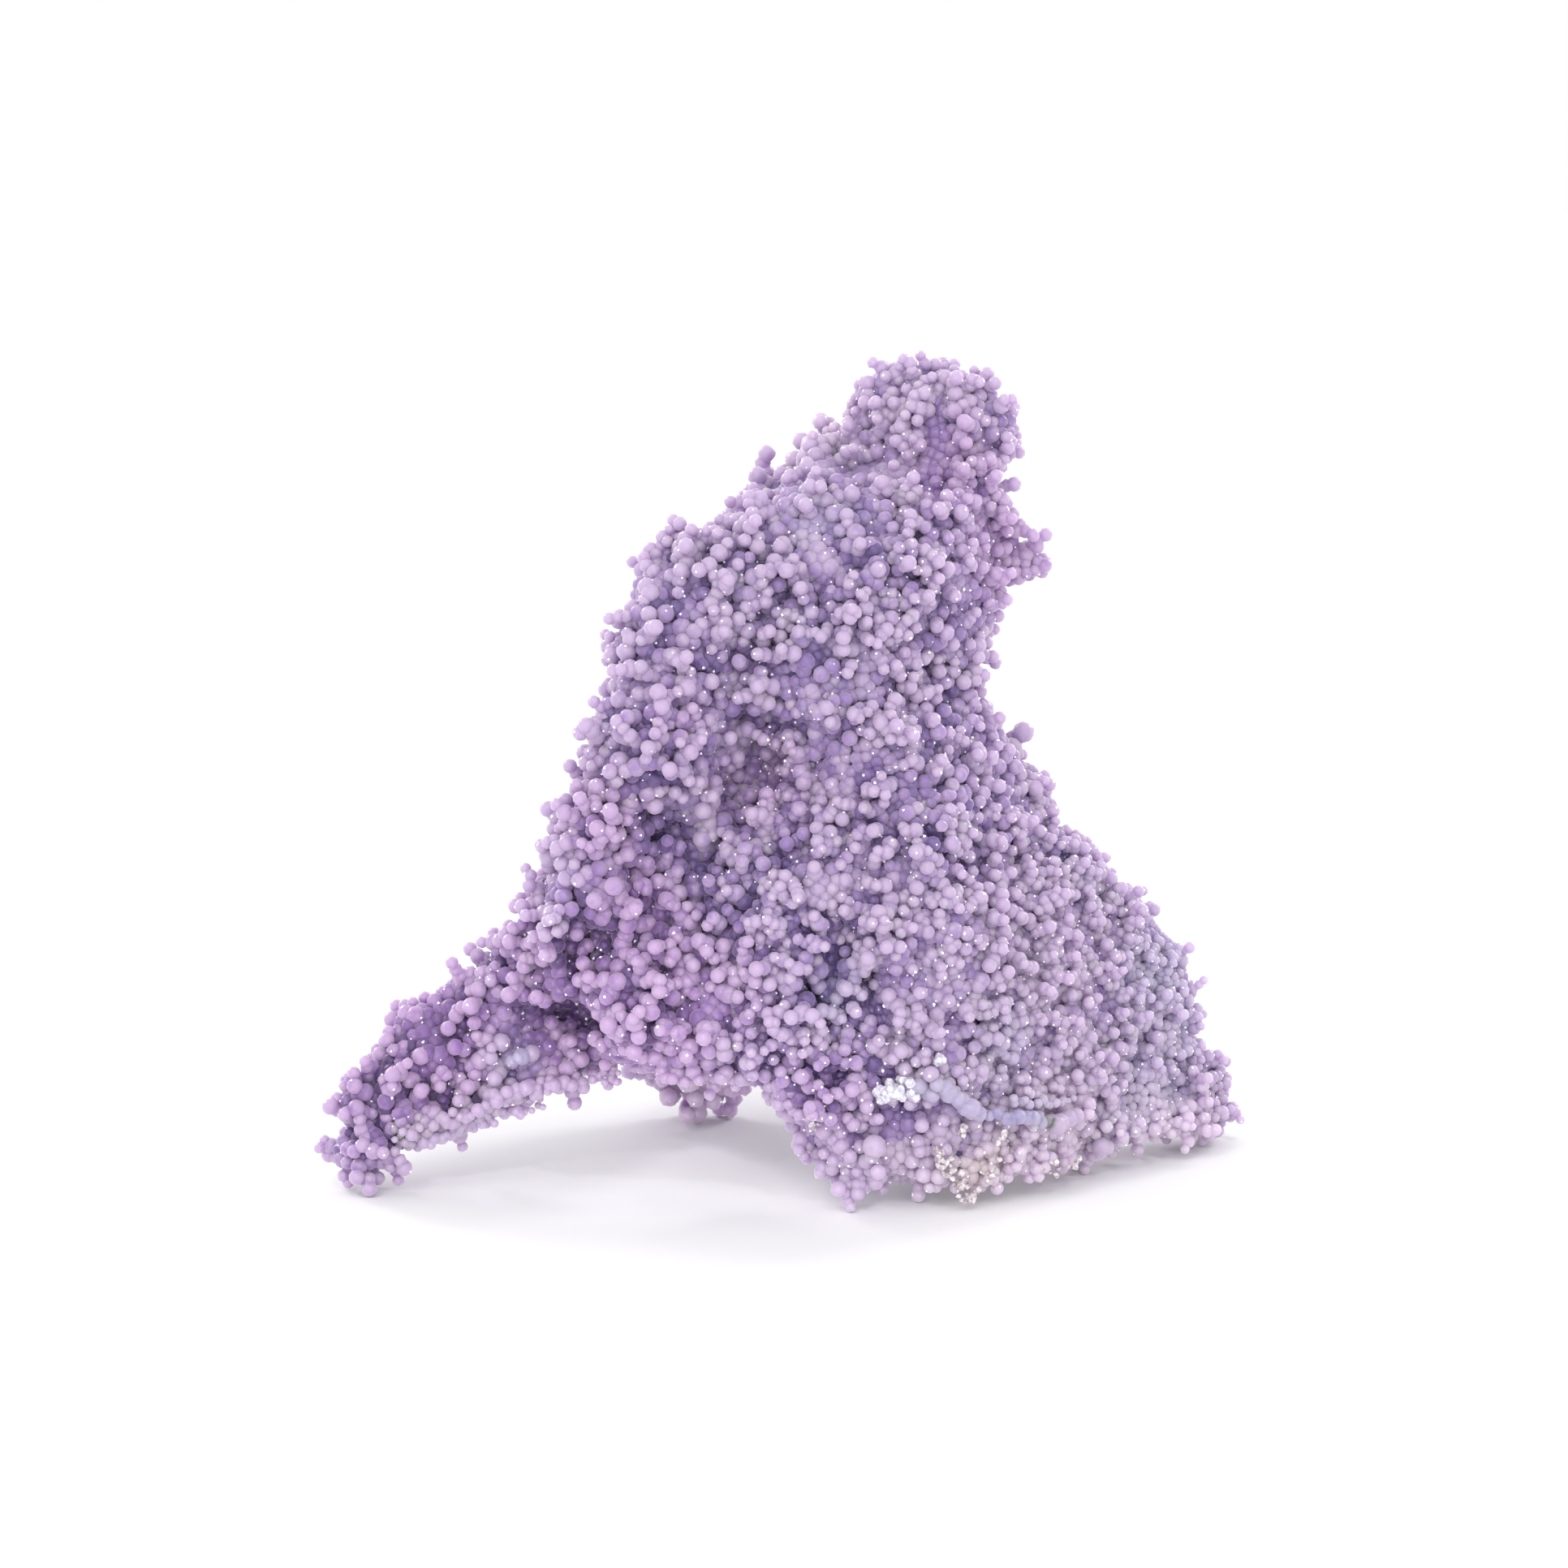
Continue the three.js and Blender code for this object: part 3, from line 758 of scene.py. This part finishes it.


# where the stone turns bluish, plum or cream, where its beads are painted paler (painted light) and
# where they are coloured darker: place and reach in mm, amount
zones = {
    "blue": [
        (-41, -18.4, 19.6, 4, 1.6), (54, 0, 23, 26, 0.42), (39, -6, 37, 16, 0.35),
        (-5, -8, 84, 12, 0.7), (4, -10, 80, 11, 0.8), (3, -8, 95, 8, 0.7), (-10, -12, 65, 9, 0.3),
        (-12, -14, 46, 8, 0.2), (5.5, -25, 33, 8, 0.8), (-46, -16, 8, 8, 0.7), (20, -10, 60, 10, 0.4),
        (30, -16, 20, 12, 0.4)],
    "plum": [
        (-6, -17, 62, 9, 0.65), (-15, 13, 3, 10, 1.2), (-50, -16, 18, 18, 0.8), (-32, -18, 28, 16, 0.9),
        (-22, -24, 42, 12, 0.7), (-26, -26, 56, 8, 0.6), (-8, -28, 34, 10, 0.6),
        (-18, -24, 28, 12, 0.8), (30, 0, 92, 10, 0.6), (24, -2, 106, 10, 0.5), (4, -30, 18, 10, 0.5),
        (-16, -26, 72, 8, 0.5)],
    # cream near the bottom front: partly the stone's own tint, partly painted light from the white
    # floor
    "cream": [(27, -23, 4, 8, 0.8), (37, -16, 3.5, 6, 0.6), (14, -27, 8, 5, 0.3)],
    # painted light: spots where the beads are coloured paler
    "pale": [
        (20, -30, 1, 12, 1.2), (38, -18, 3, 17, 1.6), (56, -2, 2, 15, 1.3), (58, 2, 22, 16, 0.72),
        (48, -4, 36, 14, 0.5), (4, -31, 6, 13, 0.6), (36, -16, 28, 18, 0.62), (18, -24, 34, 14, 0.15),
        (14, -28, 42, 14, 0.25), (16, -31.5, 24, 5, 0.8), (-12, -29.4, 30.6, 4, 0.5),
        (9.2, -29.5, 38, 4, 0.45), (9.2, -30.6, 31, 4, 0.35), (9.2, -27.3, 51.6, 4, 0.45),
        (2, -21.6, 57.7, 4, 0.5), (-12, -23.9, 58, 4, 0.6), (46, -8.5, 25.6, 5, 0.4),
        (34, -22, 22, 7, 0.3), (-49, -18.5, 19, 6, 0.35), (-55.4, -15, 26, 5, 0.25),
        (31, -13, 49, 4, 0.3), (-6, -17, 62, 8, 0.28), (-12, -8, 92, 9, 0.4), (-4, -21, 77, 8, 0.2),
        (-8, -24, 70, 4, 0.2), (12, -29, 33, 4, 0.6), (-12.5, -28.2, 35.4, 5, 0.35),
        (-38, -16.5, 19.6, 7, 0.5), (-15, 14.6, 4.8, 10, 1.2), (4, 10, 109, 7, 1.3),
        (20, -7, 103.5, 4, 0.3), (0, -16, 97.5, 4, 0.55), (-21, -23, 48, 4, 0.35),
        (-51, -19.5, 15, 4, 0.5), (33.5, 2.7, 90.8, 5, 0.7), (18, 0, 113, 9, 0.6),
        (8.4, -28, 31, 4, 0.3), (8.3, -22.4, 80.9, 5, 0.2), (17.8, -18.6, 73.3, 5, 0.15),
        (-26, -26, 64.8, 4, 0.2)],
    "dusky": [
        (2, -33, 18, 6, 0.55), (-4.8, -28.7, 45, 4, 0.4), (-25.5, -32, 59.7, 4, 0.5),
        (23, -25.6, 58.4, 4, 0.5), (2, -32, 38.5, 4, 0.3), (-26, -25, 22.4, 4, 0.4),
        (-19, -29.6, 30.7, 4, 0.35), (23.6, -12, 70.5, 4, 0.35), (-4.8, -26.8, 51.5, 4, 0.3),
        (-50, -16, 18, 16, 0.1), (-62, -21, 14, 7, 0.3), (-18, -24, 28, 8, 0.2),
        (-32, -18, 30, 12, 0.12), (-22, -22, 40, 12, 0.1), (28.4, -6, 68.9, 5, 0.1)],
}

beadSets = {}
for index, name in enumerate(regions):
    beadSets[name] = readBeads(grownMesh(name, carrier, tree, growthValues(index, name, True)))
allPlace = np.concatenate([beadSets[name][0] for name in regions])
allSize = np.concatenate([beadSets[name][1] for name in regions])
print("beads", {name: len(beadSets[name][1]) for name in regions}, "in all", len(allSize))
allOpen, allWide = openness(allPlace, allSize, lightSearch)
for label, values in (("open", allOpen), ("wide", allWide)):
    print(label, np.percentile(values, [5, 25, 50, 75, 95]).round(2))


def faceOwners(mesh, place, size):  # the bead that each face lies on, the face's corners and its middle
    centre = readField(mesh.polygons, "center", 3)
    near = nearestTree(place)
    picks = np.array([[hit[1] for hit in near.find_n(point, nearBeads)] for point in centre.tolist()])
    loops = readField(mesh.loops, "vertex_index", 1, np.int32)
    corners = readField(mesh.vertices, "co", 3)[loops.reshape(-1, 3)]
    away = np.linalg.norm(corners[:, None] - place[picks][:, :, None], axis=3)
    gap = np.abs(away - size[picks][:, :, None]).max(2)
    return picks[np.arange(len(centre)), gap.argmin(1)], corners, centre


def ballNormals(corners, middles):  # the normals of the bead itself, so that few faces look round
    normals = corners - middles[:, None]
    normals /= np.linalg.norm(normals, axis=2)[:, :, None]
    return normals.reshape(-1, 3).tolist()


def beadMarks(index, place, size, level, close, wide):  # what the material reads, for each bead
    drift = np.array([noise.noise(Vector(point) * toning["scale"]) for point in place.tolist()])
    single = toning["single"] * np.random.default_rng(index).random(len(size))
    return {
        "tone": single + np.clip(toning["middle"] + toning["patchy"] * drift, 0, toning["most"]),
        # painted light and shade: open to the light, paler in pale spots and on crests, darker in dusky
        # spots and in pits
        "open": (close + zoneAmounts(place, zones["pale"]) - zoneAmounts(place, zones["dusky"])
                 + relief["shine"] * zoneAmounts(place, relief["crests"])
                 - relief["shade"] * zoneAmounts(place, relief["pits"])),
        "wide": wide, "level": level / len(growth["bars"]),
        "blue": zoneAmounts(place, zones["blue"]) - zoneAmounts(place, zones["plum"]),
        "cream": zoneAmounts(place, zones["cream"])}


total, start = 0, 0
for index, name in enumerate(regions):
    keep = growth["keepBack" if name in farSide else "keep"]
    mesh = grownMesh(name, carrier, tree, growthValues(index, name, False), keep)
    place, size, level, outward = beadSets[name]
    here = slice(start, start + len(size))
    start += len(size)
    count = len(mesh.polygons)
    total += count
    owner, corners, centre = faceOwners(mesh, place, size)
    mesh.polygons.foreach_set("use_smooth", [True] * count)
    mesh.normals_split_custom_set(ballNormals(corners, place[owner]))
    marks = beadMarks(index, place, size, level, allOpen[here], allWide[here])
    for label, values in marks.items():
        addMark(mesh, label, "FLOAT", "FACE", values[owner])
    facing = centre - place[owner]
    facing /= np.linalg.norm(facing, axis=1)[:, None]
    crest = np.clip((facing * outward[owner]).sum(1), 0, 1)
    addMark(mesh, "side", "FLOAT", "FACE", 1 - crest ** 2)  # 0 on a bead's crest, 1 round its waist
    addPiece("beads_" + name, mesh)
print("bead faces in all", total)


def ridgeTree():
    tree, board, given = newTree("ridge", {
        "Float": ["Step", "Wobble", "Small", "Large", "Blue", "Tone", "Open"], "Int": ["Seed"]})
    add, seed = board.add, given["Seed"]
    path = add("GeometryNodeMeshToCurve", None, {"Mesh": given["Geometry"]})
    path = add("GeometryNodeCurveSplineType", {"spline_type": "CATMULL_ROM"}, {"Curve": path})
    path = add("GeometryNodeResampleCurve", {"mode": "LENGTH"},
               {"Curve": path, "Length": given["Step"]})
    points = add("GeometryNodeCurveToPoints", {"mode": "EVALUATED"}, {"Curve": path}, "Points")
    shake = board.scaled(board.dice((-1, -1, -1), (1, 1, 1), seed, "FLOAT_VECTOR"), given["Wobble"])
    points = add("GeometryNodeSetPosition", None, {"Geometry": points, "Offset": shake})
    size = board.named("FLOAT", "size") * board.dice(given["Small"], given["Large"], seed + 1)
    ball = add("GeometryNodeMeshIcoSphere", None, {"Radius": 1.0, "Subdivisions": ballCuts})
    balls = add("GeometryNodeInstanceOnPoints", None,
                {"Points": points, "Instance": ball, "Scale": size})
    whole = joined(board, balls)
    patchy = board.clouds(add("GeometryNodeInputPosition"), ridgeGrain["patches"], 0.0)
    tone = given["Tone"] + (patchy - 0.5) * ridgeGrain["patchy"]
    for name, value in (("blue", given["Blue"]), ("tone", tone), ("open", given["Open"]),
                        ("wide", given["Open"]), ("level", given["Tone"]), ("side", given["Open"])):
        whole = board.stored(whole, "FLOAT", "FACE", name, value)
    whole = add("GeometryNodeSetShadeSmooth", None, {"Geometry": whole, "Shade Smooth": True})
    finishTree(board, whole, given["Stone"])
    return tree


def pointObject(name, places, sizes, chained):
    mesh = bpy.data.meshes.new(name)
    edges = [(i, i + 1) for i in range(len(places) - 1)] if chained else []
    mesh.from_pydata([tuple(place) for place in places], edges, [])
    addMark(mesh, "size", "FLOAT", "POINT", sizes)
    return newObject(name, mesh)


def asPiece(name, meshes):  # all of them in one mesh
    shape = bmesh.new()
    for mesh in meshes:
        shape.from_mesh(mesh)
    whole = bpy.data.meshes.new(name)
    for material in meshes[0].materials:
        whole.materials.append(material)
    shape.to_mesh(whole)
    shape.free()
    addPiece(name, whole)


ridgeNodes = ridgeTree()
ridgeMeshes = []
for index, (name, values) in enumerate(ridges.items()):
    path = np.array(values["path"]) * mm
    guide = pointObject(name, path[:, :3], path[:, 3], True)
    grain = ridgeGrain["lumpy" if "lumpy" in values else "smooth"]
    ridgeMeshes.append(grownMesh(name, guide, ridgeNodes, {
        "Step": grain["step"] * mm, "Wobble": grain["wobble"] * mm,
        "Small": grain["small"], "Large": grain["large"],
        "Blue": values["blue"], "Tone": values["tone"], "Open": values["open"],
        "Seed": ridgeGrain["seed"] + ridgeGrain["next"] * index, "Stone": beadStone}))
    bpy.data.objects.remove(guide)
asPiece("fused_ridges", ridgeMeshes)


# small grains: sizes and places in mm
grains = {  # the least and the most that one is stretched, and the scale of its roughness
    "thin": (0.75, 0.75, 0.75), "thick": (1.2, 1.2, 1.2), "roughScale": 1400.0}
druseGlints = {  # tiny clear grains, white and glowing a little: painted glints
    "share": 0.4,         # of the beads that carry one
    "size": (0.14, 0.3), "sink": 0.35, "seed": 41,
    "spread": 0.55,       # how far from a bead's crest
    "clear": 0.05,        # mm that a grain may lie inside another bead
    "near": 6,            # beads that it is tried against
    "lowest": 0.5,        # mm over the floor
    "sides": 4, "rings": 2, "ragged": 0.0,
}
crumbs = {  # pale matrix under the front edge: middle, reach and how many
    "seed": 33, "size": (0.25, 0.6), "sides": 6, "rings": 4, "ragged": 0.7,
    "gather": 0.45,       # of the reach, how loosely they lie
    "bottom": 1.3,        # of its size, how high the lowest lie over the floor
    "spots": [((20.6, -30.6, 8), 1.8, 14), ((22.6, -30, 6), 2.0, 18), ((24.4, -29.6, 4), 1.6, 20),
              ((25.4, -28.8, 1.8), 1.0, 14), ((28.4, -28.6, 6), 2.0, 10), ((37, -22.8, 5.2), 2.6, 8),
              ((40, -19.2, 4), 2.4, 6), ((3, -30.3, 13.5), 1.2, 6), ((24, -30.2, 12.4), 1.0, 8),
              ((30, -27.6, 10.6), 1.2, 6)],
}
quartz = {  # six-sided crystals in one cluster and a few specks
    "middle": (14.6, -30.6, 18.2), "reach": (3.2, 0.9, 1.6), "count": 44,
    "length": (1.0, 2.6), "seed": 12,
    "specks": [((21.5, -31, 22.5), 2), ((60.5, 1.5, 7), 3), ((-20, -26, 26), 2), ((-8, -24, 22), 2)],
    "speckReach": (0.8, 0.5, 0.8), "lean": 0.9, "droop": -0.5,
    "out": 0.6,              # share of its length that a crystal stands out
    "thick": (0.22, 0.34),   # of its length
    "prism": (-0.5, 0.62),   # from where to where its sides are upright
    "sides": 6,
}


def grainTree(shape):
    tree, board, given = newTree("grains", {"Int": ["Sides", "Rings", "Seed"], "Float": ["Ragged"]})
    add, seed = board.add, given["Seed"]
    grain = add("GeometryNodeMeshUVSphere", None,
                {"Segments": given["Sides"], "Rings": given["Rings"], "Radius": 1.0}, "Mesh")
    points = add("GeometryNodeMeshToPoints", {"mode": "VERTICES"}, {"Mesh": given["Geometry"]})
    turn = board.dice((0, 0, 0), (fullTurn,) * 3, seed, "FLOAT_VECTOR")
    stretch = board.dice(shape["thin"], shape["thick"], seed + 1, "FLOAT_VECTOR")
    stretch = board.scaled(stretch, board.named("FLOAT", "size"))
    whole = add("GeometryNodeInstanceOnPoints", None,
                {"Points": points, "Instance": grain, "Rotation": turn, "Scale": stretch})
    whole = add("GeometryNodeRealizeInstances", None, {"Geometry": whole})
    rough = board.clouds(add("GeometryNodeInputPosition"), shape["roughScale"], 2.0, "Color")
    rough = board.scaled(board.vector("SUBTRACT", rough, (0.5, 0.5, 0.5)), given["Ragged"])
    whole = add("GeometryNodeSetPosition", None, {"Geometry": whole, "Offset": rough})
    finishTree(board, whole, given["Stone"])
    return tree


grainNodes = grainTree(grains)


def growGrains(name, places, sizes, values, stone):
    guide = pointObject(name, places, sizes, False)
    mesh = grownMesh(name, guide, grainNodes, {
        "Sides": values["sides"], "Rings": values["rings"], "Ragged": values["ragged"] * mm,
        "Seed": values["seed"], "Stone": stone})
    bpy.data.objects.remove(guide)
    asPiece(name, [mesh])


def addDruseGlints(values):
    dice = np.random.default_rng(values["seed"])
    allOut = np.concatenate([beadSets[name][3] for name in regions])
    chosen = np.flatnonzero(dice.random(len(allSize)) < values["share"])
    way = allOut[chosen] + dice.normal(0, values["spread"], (len(chosen), 3))
    way /= np.linalg.norm(way, axis=1)[:, None]
    size = dice.uniform(*values["size"], len(chosen)) * mm
    place = allPlace[chosen] + way * (allSize[chosen] - size * values["sink"])[:, None]
    near = nearestTree(allPlace)
    bare = [all(hit[2] > allSize[hit[1]] - values["clear"] * mm or hit[1] == own
                for hit in near.find_n(point, values["near"]))
            for own, point in zip(chosen, place.tolist())]
    bare = np.array(bare) & (place[:, 2] > values["lowest"] * mm)
    growGrains("druseGlints", place[bare], size[bare], values, grainyMaterial("paintedGlint"))


def addCrumbs(values):
    dice = np.random.default_rng(values["seed"])
    place = np.concatenate([np.array(middle) + dice.normal(0, reach * values["gather"], (count, 3))
                            for middle, reach, count in values["spots"]]) * mm
    size = dice.uniform(*values["size"], len(place)) * mm
    place[:, 2] = np.maximum(place[:, 2], size * values["bottom"])
    growGrains("matrix_crumbs", place, size, values, grainyMaterial("matrixStone"))


def crystal(shape, foot, way, length, radius, values):
    turn = Vector(way).to_track_quat("Z", "Y").to_matrix().to_4x4()
    sides, rings = values["sides"], []
    corner = 2 * math.pi / sides
    for height in values["prism"]:
        rings.append([shape.verts.new(Vector(foot) + turn @ Vector((
            radius * math.cos(corner * i), radius * math.sin(corner * i), height * length)))
            for i in range(sides)])
    tip = shape.verts.new(Vector(foot) + turn @ Vector((0, 0, length)))
    for i in range(sides):
        j = (i + 1) % sides
        shape.faces.new((rings[0][i], rings[0][j], rings[1][j], rings[1][i]))
        shape.faces.new((rings[1][i], rings[1][j], tip))
    shape.faces.new(list(reversed(rings[0])))


def addQuartz(values):
    dice = random.Random(values["seed"])
    shape = bmesh.new()
    spots = [(values["middle"], values["reach"], values["count"])]
    spots += [(middle, values["speckReach"], count) for middle, count in values["specks"]]
    lean = values["lean"]
    for middle, reach, count in spots:
        for i in range(count):
            foot = [(m + dice.uniform(-1, 1) * r) * mm for m, r in zip(middle, reach)]
            way = (dice.uniform(-lean, lean), -1, dice.uniform(values["droop"], lean))
            length = dice.uniform(*values["length"]) * mm
            radius = length * dice.uniform(*values["thick"])
            crystal(shape, foot, way, length * values["out"], radius, values)
    mesh = bpy.data.meshes.new("quartz")
    shape.to_mesh(mesh)
    shape.free()
    mesh.materials.append(grainyMaterial("clearQuartz"))
    asPiece("quartz_grains", [mesh])


addDruseGlints(druseGlints)
addCrumbs(crumbs)
addQuartz(quartz)

# the groundmass under the beads
thin(carrier, crust["keep"])
carrier.data = asPlainMesh(carrier)
mesh = carrier.data
print("groundmass thinned to", len(mesh.polygons), "faces")
mesh.attributes.remove(mesh.attributes["region"])
mesh.attributes.remove(mesh.attributes["lush"])
mesh.materials.append(grainyMaterial("violetGroundmass"))
mesh.polygons.foreach_set("use_smooth", [True] * len(mesh.polygons))
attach(carrier, "root")
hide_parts("chalcedony")
